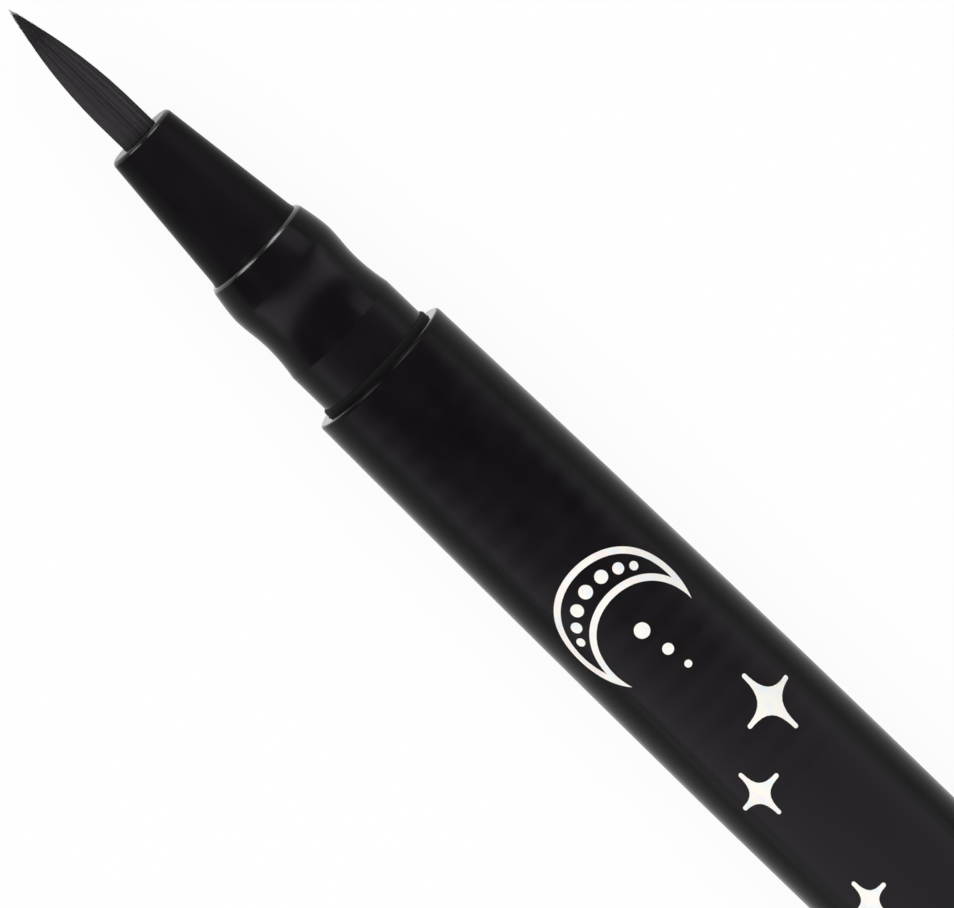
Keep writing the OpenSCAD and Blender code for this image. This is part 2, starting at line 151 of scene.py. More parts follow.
class FinishSettings(PropertyGroup):
    """Colours of the pen's plastics and metals."""

    nozzle: colour("Nozzle", "Colour of the satin nozzle", srgb(19, 17, 19))
    collar: colour("Collar", "Colour of the glossy collar", srgb(16, 14, 16))
    barrel: colour("Barrel", "Colour of the coated barrel and cap", srgb(16, 14, 16))
    natural: colour("Inner plastic", "Colour of the uncoloured inner pieces", srgb(226, 225, 218))
    fibre: colour("Fibre", "Colour of the feed rod", srgb(214, 210, 200))
    rubber: colour("Rubber", "Colour of the seals", srgb(38, 38, 39))
    steel: colour("Steel", "Colour of the ball and the spring", srgb(203, 205, 208))
    barrel_rough: factor("Barrel roughness", "Roughness of the barrel's coat", 0.2)
    collar_rough: factor("Collar roughness", "Roughness of the collar", 0.22)
    nozzle_rough: factor("Nozzle roughness", "Roughness of the nozzle", 0.3)
    edge_rough: factor("Polished edges", "Roughness of the front edges' polished skin", 0.22)


class StudioSettings(PropertyGroup):
    """The camera and the lights."""

    aim_at: length("Aim", "Distance from the barrel's edge to the picture's middle", 7.96 * MM)
    aim_side: length("Aim side", "Distance of the picture's middle from the pen's axis", 0.34 * MM)
    view_width: length("View width", "Width of the picture at the pen", 57.47 * MM)
    tilt: FloatProperty(
        name="Tilt",
        description="How far the camera leans from straight above towards the brush",
        default=math.radians(7.0),
        subtype="ANGLE",
    )
    turn: FloatProperty(
        name="Turn",
        description="Angle of the pen in the picture",
        default=math.radians(44.0),
        subtype="ANGLE",
    )
    lens: FloatProperty(
        name="Lens", description="Focal length in millimetres", default=600.0, unit="CAMERA"
    )
    daylight: FloatProperty(
        name="Daylight", description="Strength of the soft overhead light", default=2.95
    )
    right_panel: FloatProperty(
        name="Right panel", description="Brightness of the ceiling on the pen's right", default=2.3
    )
    left_panel: FloatProperty(
        name="Left panel", description="Brightness of the ceiling on the pen's left", default=2.0
    )
    front_panel: FloatProperty(
        name="Front panel", description="Brightness of the ceiling over the brush", default=2.7
    )
    rear_panel: FloatProperty(
        name="Rear panel",
        description="Brightness that the ceiling gains over the tail",
        default=1.6,
    )
    wall_panel: FloatProperty(
        name="Wall panels", description="Brightness of the far walls and floor", default=1.2
    )
    window: FloatProperty(
        name="Window", description="Brightness of the front windows, where 1 is white", default=8.5
    )
    overhead: factor("Overhead", "Brightness of the studio above the pen", 0.06)
    lift: factor("Floor lift", "Share of plain white in the floor that the camera sees", 0.92)


def new_piece(name, points, faces, body, material, smooth=True):
    """A mesh piece in the pen's own frame that rides on a body and has one material."""
    mesh = bpy.data.meshes.new(name)
    mesh.from_pydata(points, [], faces)
    mesh.validate()
    mesh.materials.append(material)
    mesh.polygons.foreach_set("use_smooth", [smooth] * len(mesh.polygons))
    piece = bpy.data.objects.new(name, mesh)
    bpy.context.scene.collection.objects.link(piece)
    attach(piece, body)
    return piece


# Materials

# Name of the foil's material, and of the attribute that gives each strand its tone
FOIL_NAME = "ivory_pearl_foil"
TONE_NAME = "strand_tone"


def add_node(material, kind, **values):
    """A shader node, with inputs set by their names, in which underscores stand for spaces."""
    node = material.node_tree.nodes.new(kind)
    for name, value in values.items():
        node.inputs[name.replace("_", " ")].default_value = value
    return node


def link(material, output, socket):
    """Joins an output to an input socket."""
    material.node_tree.links.new(output, socket)


def new_finish(name, base, roughness, specular=0.5, metallic=0.0):
    """A material and its main shader, with its even values set."""
    material = bpy.data.materials.new(name)
    material.use_nodes = True
    shader = material.node_tree.nodes["Principled BSDF"]
    shader.inputs["Base Color"].default_value = (*base, 1.0)
    shader.inputs["Roughness"].default_value = roughness
    shader.inputs["Specular IOR Level"].default_value = specular
    shader.inputs["Metallic"].default_value = metallic
    return material, shader


def grain(material, size, stretch=(1.0, 1.0, 1.0), detail=2.0, shift=0.0):
    """Noise with grains of one size, stretched along the pen's axes. Returns its output."""
    place = add_node(material, "ShaderNodeTexCoord")
    mapping = add_node(
        material,
        "ShaderNodeMapping",
        Location=(shift, shift, shift),
        Scale=[1 / (size * part) for part in stretch],
    )
    noise = add_node(material, "ShaderNodeTexNoise", Scale=1.0, Detail=detail)
    link(material, place.outputs["Object"], mapping.inputs["Vector"])
    link(material, mapping.outputs["Vector"], noise.inputs["Vector"])
    return noise.outputs["Fac"]


def spread(material, output, low, high, start=0.3, end=0.7):
    """Spreads an output between two values, from a start to an end of its own."""
    ranged = add_node(
        material, "ShaderNodeMapRange", From_Min=start, From_Max=end, To_Min=low, To_Max=high
    )
    link(material, output, ranged.inputs["Value"])
    return ranged.outputs["Result"]


def blend_colours(material, amount, first, second):
    """Blends two colours by an output from 0 to 1."""
    mix = material.node_tree.nodes.new("ShaderNodeMix")
    mix.data_type = "RGBA"
    socket = {s.identifier: s for s in mix.inputs}
    for key, value in (("A_Color", first), ("B_Color", second)):
        if isinstance(value, bpy.types.NodeSocket):
            link(material, value, socket[key])
        else:
            socket[key].default_value = (*value, 1.0)
    link(material, amount, socket["Factor_Float"])
    return {s.identifier: s for s in mix.outputs}["Result_Color"]


def emboss(material, shader, output, depth):
    """Raises the surface by an output, by at most one depth."""
    bump = add_node(material, "ShaderNodeBump", Strength=1.0, Distance=depth)
    link(material, output, bump.inputs["Height"])
    link(material, bump.outputs["Normal"], shader.inputs["Normal"])


def tinted(base, share):
    """A colour made lighter or darker by a share."""
    return tuple(min(1.0, part * share) for part in base)


def vary_colour(material, shader, output, base, low, high=1.0):
    """Varies the base colour by an output, from one share of it to another."""
    amount = spread(material, output, 0.0, 1.0)
    tone = blend_colours(material, amount, tinted(base, low), tinted(base, high))
    link(material, tone, shader.inputs["Base Color"])


def vary_roughness(material, shader, output, low, high):
    """Varies the roughness by an output, from one value to another."""
    link(material, spread(material, output, low, high), shader.inputs["Roughness"])


def polish_front(material, shader, roughness, shine, start=0.28, full=0.42):
    """Gives surfaces that face the brush end a polished coat, from one slant to another."""
    place = add_node(material, "ShaderNodeTexCoord")
    parts = add_node(material, "ShaderNodeSeparateXYZ")
    link(material, place.outputs["Normal"], parts.inputs["Vector"])
    weight = spread(material, parts.outputs["X"], low=0.0, high=shine, start=-start, end=-full)
    link(material, weight, shader.inputs["Coat Weight"])
    shader.inputs["Coat Roughness"].default_value = roughness


# Slight violet tint of the gloss on the black plastics
VIOLET_GLOSS = (1.0, 0.93, 1.0, 1.0)


def moulded_black(name, base, roughness, specular, grain_size, depth):
    """Black moulded plastic, with fine skin grain and slow changes of tone and gloss."""
    material, shader = new_finish(name, base, roughness, specular)
    shader.inputs["Specular Tint"].default_value = VIOLET_GLOSS
    cloud = grain(material, 2.2 * MM, stretch=(2.0, 1.0, 1.0), detail=3.0, shift=3.0)
    vary_colour(material, shader, cloud, base, low=0.86, high=1.16)
    vary_roughness(material, shader, cloud, low=roughness - 0.025, high=roughness + 0.035)
    emboss(material, shader, grain(material, grain_size), depth)
    return material, shader


def nozzle_finish(finish):
    """Satin black of the nozzle and the cap's liner, with shiny front edges."""
    material, shader = moulded_black(
        "satin_nozzle_black",
        finish.nozzle,
        finish.nozzle_rough,
        specular=0.03,
        grain_size=0.06 * MM,
        depth=0.0003 * MM,
    )
    polish_front(material, shader, finish.edge_rough, shine=0.6)
    return material


def collar_finish(finish):
    """Glossy black of the collar and the end cap, with shiny front edges."""
    material, shader = moulded_black(
        "gloss_collar_black",
        finish.collar,
        finish.collar_rough,
        specular=0.07,
        grain_size=0.25 * MM,
        depth=0.0003 * MM,
    )
    polish_front(material, shader, finish.edge_rough, shine=1.0)
    return material


def barrel_finish(finish):
    """Semi-gloss coat of the barrel and the cap, with an orange-peel skin and shiny front faces."""
    material, shader = moulded_black(
        "coated_barrel_black",
        finish.barrel,
        finish.barrel_rough,
        specular=0.06,
        grain_size=0.3 * MM,
        depth=0.0002 * MM,
    )
    polish_front(material, shader, finish.edge_rough, shine=1.0, start=0.8, full=0.95)
    return material


def tube_finish(finish):
    """Dull black of the ink tube, with fine lines that run along it as it was drawn."""
    material, shader = new_finish("dull_tube_black", finish.collar, roughness=0.6, specular=0.06)
    lines = grain(material, 0.08 * MM, stretch=(30.0, 1.0, 1.0), detail=3.0)
    vary_colour(material, shader, lines, finish.collar, low=1.0, high=1.3)
    vary_roughness(material, shader, lines, low=0.55, high=0.68)
    emboss(material, shader, lines, depth=0.0004 * MM)
    return material


def natural_finish(finish):
    """Uncoloured moulded plastic that lets a little light in."""
    material, shader = new_finish("natural_plastic", finish.natural, roughness=0.4, specular=0.45)
    shader.inputs["Subsurface Weight"].default_value = 0.2
    shader.inputs["Subsurface Radius"].default_value = (1.0, 0.9, 0.7)
    shader.inputs["Subsurface Scale"].default_value = 0.4 * MM
    flow = grain(material, 1.4 * MM, stretch=(3.0, 1.0, 1.0), detail=3.0)
    vary_colour(material, shader, flow, finish.natural, low=0.94)
    emboss(material, shader, grain(material, 0.08 * MM), depth=0.001 * MM)
    return material


def fibre_finish(finish):
    """Bonded fibres that run along the feed rod."""
    material, shader = new_finish("bonded_fibre", finish.fibre, roughness=0.85, specular=0.3)
    strands = grain(material, 0.03 * MM, stretch=(40.0, 1.0, 1.0), detail=3.0)
    vary_colour(material, shader, strands, finish.fibre, low=0.72)
    emboss(material, shader, strands, depth=0.01 * MM)
    return material


def rubber_finish(finish):
    """Soft seal rubber with a powdery bloom."""
    material, shader = new_finish("seal_rubber", finish.rubber, roughness=0.72, specular=0.3)
    bloom = grain(material, 0.5 * MM, detail=4.0)
    vary_colour(material, shader, bloom, finish.rubber, low=0.8, high=1.4)
    vary_roughness(material, shader, bloom, low=0.62, high=0.82)
    emboss(material, shader, grain(material, 0.05 * MM), depth=0.002 * MM)
    return material


def steel_finish(finish):
    """Polished ball steel with fine tumbling marks."""
    material, shader = new_finish("ball_steel", finish.steel, roughness=0.1, metallic=1.0)
    marks = grain(material, 0.12 * MM, stretch=(6.0, 1.0, 1.0), detail=4.0)
    vary_roughness(material, shader, marks, low=0.06, high=0.2)
    emboss(material, shader, marks, depth=0.0005 * MM)
    return material


def wire_finish(finish):
    """Drawn spring wire, with die lines along which its tone changes."""
    material, shader = new_finish("spring_wire", finish.steel, roughness=0.28, metallic=1.0)
    lines = grain(material, 0.04 * MM, stretch=(1.0, 6.0, 6.0), detail=3.0)
    vary_colour(material, shader, lines, finish.steel, low=0.6, high=0.95)
    vary_roughness(material, shader, lines, low=0.2, high=0.38)
    emboss(material, shader, lines, depth=0.002 * MM)
    return material


def strand_finish(brush):
    """Dark synthetic strands, each with its own tone and darker streaks along it."""
    material, shader = new_finish("brush_strand", brush.dark, roughness=0.7, specular=0.03)
    own = material.node_tree.nodes.new("ShaderNodeAttribute")
    own.attribute_name = TONE_NAME
    base = blend_colours(material, own.outputs["Fac"], brush.dark, brush.light)
    streak = grain(material, 0.05 * MM, stretch=(14.0, 1.0, 1.0), detail=2.0)
    amount = spread(material, streak, low=0.0, high=0.25)
    tone = blend_colours(material, amount, base, tinted(brush.dark, 0.7))
    link(material, tone, shader.inputs["Base Color"])
    vary_roughness(material, shader, streak, low=0.6, high=0.8)
    return material


def foil_finish(prints):
    """Ivory pearl foil with faint warm and cool tints and a slightly dragged surface."""
    material, shader = new_finish(FOIL_NAME, prints.ivory, roughness=0.38, specular=0.08)
    shader.inputs["Sheen Weight"].default_value = 0.05
    warm = grain(material, 1.6 * MM, stretch=(1.0, 0.7, 1.0), detail=2.0, shift=5.0)
    cool = grain(material, 1.1 * MM, stretch=(1.3, 0.6, 1.0), detail=2.0, shift=11.0)
    warmth = spread(material, warm, low=0.0, high=0.8, start=0.5, end=0.72)
    coolness = spread(material, cool, low=0.0, high=0.9, start=0.5, end=0.72)
    tone = blend_colours(material, warmth, prints.ivory, prints.rose)
    tone = blend_colours(material, coolness, tone, prints.sky)
    link(material, tone, shader.inputs["Base Color"])
    drag = grain(material, 0.09 * MM, stretch=(5.0, 1.0, 1.0), detail=3.0)
    vary_roughness(material, shader, drag, low=0.3, high=0.46)
    emboss(material, shader, drag, depth=0.0015 * MM)
    return material


# The brush

# Seed of the strands' random draws
STRAND_SEED = 11
# Corners round a strand, and the stretches that it has outside the nozzle
STRAND_SIDES = 5
STRAND_STRETCHES = 9
# A strand's radius as a share of the strands' spacing
STRAND_FILL = 0.52
# How fast the strands' ends draw back from the middle, and how their stretches crowd to the end
POINT_POWER = 1.3
STRETCH_POWER = 1.35
# Range of the random shift of a strand's end, in staggers, and the share of it lost at the rim
END_SHIFT = (-0.3, 0.7)
RIM_EVENNESS = 0.5
# Length along a strand for one radian of its sway
SWAY_LENGTH = 3.1 * MM
# Length over which a strand thins to its end, and its thickness there as a share
FINE_LENGTH = 1.6 * MM
FINE_SHARE = 0.12
# Corners round the root, its chamfer and its tone between the dark and the light strands
ROOT_SIDES = 48
ROOT_CHAMFER = 0.08 * MM
ROOT_TONE = 0.3


def tuft_radius(brush, from_tip):
    """Radius of the tuft at a distance from its tip."""
    share = min(max(from_tip, brush.point) / brush.taper, 1.0)
    return brush.width / 2 * (1 - (1 - share) ** 2)


def strand_places(rings):
    """Places of the strands in one slice of the tuft, in strand spacings."""
    row = math.sqrt(3) / 2
    reach = math.ceil(rings / row)
    for i in range(-reach, reach + 1):
        for j in range(-reach, reach + 1):
            place = Vector((i + j / 2, j * row))
            if place.length <= rings:
                yield place


def ring_points(centre, radius, sides, start=0.0):
    """Corners of one ring of a strand, square to the pen's axis."""
    made = []
    for side in range(sides):
        angle = start + 2 * math.pi * side / sides
        made.append(centre + radius * Vector((0, math.cos(angle), math.sin(angle))))
    return made


def tube_faces(first, rings, sides):
    """Faces of a closed tube whose rings follow each other in the list of points."""
    faces = []
    for ring in range(rings - 1):
        for side in range(sides):
            a = first + ring * sides + side
            b = first + ring * sides + (side + 1) % sides
            faces.append((a, b, b + sides, a + sides))
    last = first + (rings - 1) * sides
    faces.append(tuple(first + side for side in reversed(range(sides))))
    faces.append(tuple(last + side for side in range(sides)))
    return faces


def add_strand(brush, place, draws, points, faces, tones):
    """One strand from the bonded root to its own end, as a tapered tube."""
    out = place.length / brush.rings
    shift = brush.stagger * draws.uniform(*END_SHIFT) * (1 - RIM_EVENNESS * out)
    end = max(brush.point * out**POINT_POWER + shift, 0.0)
    wander = Vector((draws.gauss(0, 1), draws.gauss(0, 1))) * brush.stray
    sway = draws.uniform(0, 2 * math.pi)
    whole = ROOT_BACK - brush.root - TUFT_TIP
    mouth = NOZZLE_MOUTH - TUFT_TIP
    stops = [whole, mouth]
    for k in range(1, STRAND_STRETCHES + 1):
        stops.append(end + (mouth - end) * (1 - k / STRAND_STRETCHES) ** STRETCH_POWER)
    first = len(points)
    for stop in stops:
        gap = tuft_radius(brush, stop) / (brush.rings + STRAND_FILL)
        loose = (1 - stop / whole) * math.sin(sway + stop / SWAY_LENGTH)
        centre = Vector((TUFT_TIP + stop, 0, AXIS_Z))
        centre += Vector((0, place.x * gap + wander.x * loose, place.y * gap + wander.y * loose))
        fine = min(max((stop - end) / FINE_LENGTH, 0.0), 1.0)
        radius = STRAND_FILL * gap * (FINE_SHARE + (1 - FINE_SHARE) * math.sqrt(fine))
        points.extend(ring_points(centre, radius, STRAND_SIDES, sway))
    faces.extend(tube_faces(first, len(stops), STRAND_SIDES))
    tones.extend([draws.random()] * (len(points) - first))


def add_root(brush, points, faces, tones):
    """Bonded root that the strands stand in, with a small chamfer at each end."""
    front = ROOT_BACK - brush.root
    outline = [
        (front, ROOT_RADIUS - ROOT_CHAMFER),
        (front + ROOT_CHAMFER, ROOT_RADIUS),
        (ROOT_BACK - ROOT_CHAMFER, ROOT_RADIUS),
        (ROOT_BACK, ROOT_RADIUS - ROOT_CHAMFER),
    ]
    first = len(points)
    for at, radius in outline:
        points.extend(ring_points(Vector((at, 0, AXIS_Z)), radius, ROOT_SIDES))
    faces.extend(tube_faces(first, len(outline), ROOT_SIDES))
    tones.extend([ROOT_TONE] * (len(points) - first))


class LINER_OT_brush(Operator):
    """Make the brush tuft, strand by strand, with its bonded root"""

    bl_idname = "liner_pen.brush"
    bl_label = "Brush tuft"
    bl_options = {"REGISTER", "UNDO"}

    def execute(self, context):
        brush = context.scene.liner_brush
        draws = random.Random(STRAND_SEED)
        points, faces, tones = [], [], []
        for place in strand_places(brush.rings):
            add_strand(brush, place, draws, points, faces, tones)
        add_root(brush, points, faces, tones)
        tuft = new_piece("brush_tuft", points, faces, "pen", strand_finish(brush))
        own = tuft.data.attributes.new(TONE_NAME, "FLOAT", "POINT")
        own.data.foreach_set("value", tones)
        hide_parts("bristle_bundle")
        return {"FINISHED"}


# The foil print

# Shares at which each foil shape has a loop of points, from its inside to its edge
DISC_SHARES = (0.5, 1.0)
OUTLINE_SHARES = (1.0, 0.75, 0.5, 0.25, 0.0)
SPARKLE_SHARES = (0.3, 0.65, 1.0)
# Points round a foil dot, and on each of the crescent's two arcs
DISC_STEPS = 28
MOON_STEPS = 56
# Direction in which the crescent opens, from the pen's own length
MOON_HEADING = math.radians(-10)
# Degrees between the crescent's middle and each of its dots
DOT_TURNS = (-66, -48, -26, 0, 26, 48, 66)
# Dots inside the crescent, in millimetres: distance behind the barrel's edge, distance round the
# barrel, and radius
DOT_TRAIL = ((21.9, 0.4, 0.5), (23.8, 0.1, 0.36), (25.3, -0.1, 0.24))
# Sparkles, in millimetres: name, distance behind the barrel's edge, distance round the barrel, and
# reach of their points along the pen and across it
SPARKLES = (
    ("sparkle_large", 30.48, -1.94, 2.32, 2.12),
    ("sparkle_middle", 33.99, 2.63, 1.75, 1.7),
    ("sparkle_small", 43.29, 2.61, 1.52, 1.42),
)
# How far the cross arms lean along the pen, as a share of their reach
SPARKLE_LEAN = 0.075
# Radius of a sparkle's blunt points
SPARKLE_BLUNT = 0.15 * MM
# Exponent of the curve of a sparkle's sides, which are straight at 1 and hollower below it
SPARKLE_CURVE = 0.475
# Points on each hollow side, and on each half of a blunt point
SIDE_STEPS = 12
TIP_STEPS = 6


def barrel_outline():
    """Rings of the barrel's outer wall from its mesh: place, to a micrometre, and radius."""
    widest = {}
    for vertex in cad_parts["barrel"].data.vertices:
        at = round(vertex.co.x, 6)
        radius = math.hypot(vertex.co.y, vertex.co.z - AXIS_Z)
        widest[at] = max(widest.get(at, 0.0), radius)
    return sorted(widest.items())


def radius_at(outline, at):
    """Radius of an outline at one place along the pen."""
    for (a, radius_a), (b, radius_b) in zip(outline, outline[1:]):
        if a <= at <= b and b > a:
            return radius_a + (radius_b - radius_a) * (at - a) / (b - a)
    raise ValueError("the print runs off the barrel")


def on_barrel(outline, along, side, height):
    """A point of the print, from its distance behind the barrel's edge and round the barrel."""
    at = BARREL_FRONT + along
    wall = radius_at(outline, at)
    angle = side / wall
    radius = wall + height
    return Vector((at, -radius * math.sin(angle), AXIS_Z + radius * math.cos(angle)))


def add_foil(prints, outline, loops, points, faces, filled=True):
    """One closed foil shape, from loops of equal counts that run from its inside to its edge."""
    count = len(loops[0])
    first = len(points)
    for height in (prints.proud, -prints.sunk):
        for loop in loops:
            points.extend(on_barrel(outline, along, side, height) for along, side in loop)
        if filled:
            middle = [sum(axis) / count for axis in zip(*loops[0])]
            points.append(on_barrel(outline, *middle, height))
    layer = (len(points) - first) // 2
    edge = len(loops) - 1
    for k in range(count):
        after = (k + 1) % count
        for loop in range(edge):
            a = first + loop * count
            faces.append((a + k, a + after, a + count + after, a + count + k))
            b = a + layer
            faces.append((b + k, b + count + k, b + count + after, b + after))
        top = first + edge * count
        faces.append((top + k, top + after, top + layer + after, top + layer + k))
        if filled:
            hub = first + layer - 1
            faces.append((hub, first + after, first + k))
            faces.append((hub + layer, first + layer + k, first + layer + after))
        else:
            faces.append((first + k, first + layer + k, first + layer + after, first + after))


def disc_loops(along, side, radius):
    """Loops of a round foil dot."""
    loops = []
    for share in DISC_SHARES:
        loop = []
        for k in range(DISC_STEPS):
            angle = 2 * math.pi * k / DISC_STEPS
            reach = share * radius
            loop.append((along + reach * math.cos(angle), side + reach * math.sin(angle)))
        loops.append(loop)
    return loops


def heading_vector(angle):
    """Direction in the unrolled print at an angle from the pen's own length."""
    return Vector((math.cos(angle), math.sin(angle)))


def moon_loop(prints, inset):
    """Closed edge of the crescent, drawn in from its outer edge by an inset."""
    outer = prints.moon_radius - inset
    inner = prints.hollow_radius + inset
    apart = prints.hollow_shift
    middle = Vector((prints.moon_at, prints.moon_side))
    hollow = middle + apart * heading_vector(MOON_HEADING)
    reach = (outer**2 - inner**2 + apart**2) / (2 * apart)
    outer_half = math.acos(reach / outer)
    inner_half = math.acos((reach - apart) / inner)
    loop = []
    arcs = ((middle, outer, outer_half, 1), (hollow, inner, inner_half, -1))
    for centre, radius, half, way in arcs:
        for k in range(MOON_STEPS):
            turn = half + 2 * (math.pi - half) * k / MOON_STEPS
            loop.append(tuple(centre + radius * heading_vector(MOON_HEADING + way * turn)))
    return loop


def crescent_dots(prints):
    """Dots along the middle of the crescent, as place and radius, that shrink towards its horns."""
    outer = prints.moon_radius - prints.line
    inner = prints.hollow_radius + prints.line
    apart = prints.hollow_shift
    dots = []
    for turn in DOT_TURNS:
        off = math.radians(turn)
        near = math.sqrt(inner**2 - (apart * math.sin(off)) ** 2) - apart * math.cos(off)
        place = Vector((prints.moon_at, prints.moon_side))
        place += (near + outer) / 2 * heading_vector(MOON_HEADING + math.pi + off)
        dots.append((*place, prints.dot_share * (outer - near) / 2))
    return dots


def sparkle_loop(arm, cross_arm):
    """Edge of a four-pointed sparkle with hollow sides and blunt points, about its middle."""
    bend = 2 / SPARKLE_CURVE
    blunt = SPARKLE_BLUNT
    loop = []
    for quarter in range(4):
        here, there = (arm, cross_arm) if quarter % 2 == 0 else (cross_arm, arm)
        turned = Matrix.Rotation(quarter * math.pi / 2, 2)
        for k in range(TIP_STEPS):
            angle = math.pi / 2 * k / TIP_STEPS
            point = Vector((here - blunt + blunt * math.cos(angle), blunt * math.sin(angle)))
            loop.append(turned @ point)
        for k in range(SIDE_STEPS + 1):
            angle = math.pi / 2 * k / SIDE_STEPS
            c, s = math.cos(angle), math.sin(angle)
            point = Vector(((here - blunt) * c**bend, (there - blunt) * s**bend))
            slope = Vector(((there - blunt) * s ** (bend - 2), (here - blunt) * c ** (bend - 2)))
            normal = slope.normalized() if slope.length > 0 else Vector((1, 1)).normalized()
            loop.append(turned @ (point + blunt * normal))
        for k in range(1, TIP_STEPS):
            angle = math.pi / 2 * k / TIP_STEPS
            point = Vector((blunt * math.cos(angle), there - blunt + blunt * math.sin(angle)))
            loop.append(turned @ point)
    return loop


class LINER_OT_moon_print(Operator):
    """Print the outlined foil moon and its dots on the barrel"""

    bl_idname = "liner_pen.moon_print"
    bl_label = "Moon print"
    bl_options = {"REGISTER", "UNDO"}

    def execute(self, context):
        prints = context.scene.liner_print
        outline = barrel_outline()
        points, faces = [], []
        edge = [moon_loop(prints, share * prints.line) for share in OUTLINE_SHARES]
        add_foil(prints, outline, edge, points, faces, filled=False)
        dots = crescent_dots(prints) + [tuple(value * MM for value in dot) for dot in DOT_TRAIL]
        for dot in dots:
            add_foil(prints, outline, disc_loops(*dot), points, faces)
        piece = new_piece("moon_print", points, faces, "pen", foil_material(prints), smooth=False)
        return {"FINISHED"}


class LINER_OT_sparkles(Operator):
    """Print the foil sparkles on the barrel"""

    bl_idname = "liner_pen.sparkles"
    bl_label = "Sparkles"
    bl_options = {"REGISTER", "UNDO"}

    def execute(self, context):
        prints = context.scene.liner_print
        outline = barrel_outline()
        for name, along, side, arm, cross_arm in SPARKLES:
            edge = sparkle_loop(arm * MM, cross_arm * MM)
            leant = [(p.x + SPARKLE_LEAN * p.y, p.y) for p in edge]
            loops = []
            for share in SPARKLE_SHARES:
                loops.append([(along * MM + share * x, side * MM + share * y) for x, y in leant])
            points, faces = [], []
            add_foil(prints, outline, loops, points, faces)
            piece = new_piece(name, points, faces, "pen", foil_material(prints), smooth=False)
        return {"FINISHED"}


def foil_material(prints):
    """The foil's material, made once for all prints."""
    return bpy.data.materials.get(FOIL_NAME) or foil_finish(prints)


# The spring

# Turns at each end that lie on each other, and their pitch in wire diameters
CLOSED_TURNS = 1.1
CLOSED_PITCH = 1.05
# Share of the open turns' rise that starts and ends softly
SOFT_RISE = 0.25
# Rings of points in one turn, and points round the wire
TURN_STEPS = 28
WIRE_SIDES = 10
# Share of the whole wire over which its heading is measured, before and after a ring
HEADING_REACH = 0.001


def spring_centre(spring, share):
    """Place of the spring's middle line at a share of its turns, with closed end turns."""
    wire = spring.wire
    closed = CLOSED_TURNS / spring.turns
    closed_run = CLOSED_TURNS * CLOSED_PITCH * wire
    front = SPRING_LOW.x + wire / 2
    back = SPRING_HIGH.x - wire / 2
    open_share = min(max((share - closed) / (1 - 2 * closed), 0.0), 1.0)
    eased = open_share * open_share * (3 - 2 * open_share)
    rise = (1 - SOFT_RISE) * open_share + SOFT_RISE * eased
    along = front + (back - front - 2 * closed_run) * rise
    along += closed_run * min(share / closed, 1.0)
    along += closed_run * max((share - 1 + closed) / closed, 0.0)
    radius = (SPRING_HIGH.z - SPRING_LOW.z - wire) / 2
    angle = 2 * math.pi * spring.turns * share
    return Vector((along, -radius * math.sin(angle), AXIS_Z - radius * math.cos(angle)))


class LINER_OT_spring(Operator):
    """Wind the spring behind the inner cap, with closed end turns"""

    bl_idname = "liner_pen.spring"
    bl_label = "Spring"
    bl_options = {"REGISTER", "UNDO"}

    def execute(self, context):
        spring = context.scene.liner_spring
        finish = context.scene.liner_finish
        rings = spring.turns * TURN_STEPS + 1
        points = []
        for ring in range(rings):
            share = ring / (rings - 1)
            centre = spring_centre(spring, share)
            before = spring_centre(spring, max(share - HEADING_REACH, 0.0))
            after = spring_centre(spring, min(share + HEADING_REACH, 1.0))
            heading = (after - before).normalized()
            out = Vector((0, centre.y, centre.z - AXIS_Z)).normalized()
            across = heading.cross(out).normalized()
            for side in range(WIRE_SIDES):
                angle = 2 * math.pi * side / WIRE_SIDES
                skin = out * math.cos(angle) + across * math.sin(angle)
                points.append(centre + spring.wire / 2 * skin)
        faces = tube_faces(0, rings, WIRE_SIDES)
        piece = new_piece("inner_cap_spring", points, faces, "cap", wire_finish(finish))
        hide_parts("cap_spring")
        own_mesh(piece)
        return {"FINISHED"}


# Finishes of the frame's own pieces


class LINER_OT_finishes(Operator):
    """Give each rigid piece of the pen its finish"""

    bl_idname = "liner_pen.finishes"
    bl_label = "Finishes"
    bl_options = {"REGISTER", "UNDO"}

    def execute(self, context):
        finish = context.scene.liner_finish
        nozzle = nozzle_finish(finish)
        collar = collar_finish(finish)
        barrel = barrel_finish(finish)
        natural = natural_finish(finish)
        rubber = rubber_finish(finish)
        finishes = {
            "nozzle": nozzle,
            "cap_liner": nozzle,
            "collar": collar,
            "reservoir_tube": tube_finish(finish),
            "end_cap": collar,
            "barrel": barrel,
            "cap_shell": barrel,
            "brush_retainer": natural,
            "collector": natural,
            "tail_plug": natural,
            "inner_cap": natural,
            "feed_core": fibre_finish(finish),
            "collector_bush": rubber,
            "plug_ring": rubber,
            "mixing_ball": steel_finish(finish),
        }
        for name, material in finishes.items():
            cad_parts[name].material_slots[0].material = material
        return {"FINISHED"}


# The studio

# Half the floor's width, and the colour of its paper
FLOOR_REACH = 20.0
FLOOR_WHITE = (0.92, 0.92, 0.92)
# Height of the world's white band over and under the horizon, as the sine of its angle
HORIZON = 0.12
# Direction that the soft daylight comes from, and the width of its sky
DAYLIGHT_FROM = (0.0, -0.1, 1.0)
DAYLIGHT_ANGLE = math.radians(100)
# Heights of the ceiling panels, and of the panels that lie on the far floor
CEILING = 205 * MM
LOW = 1.5 * MM
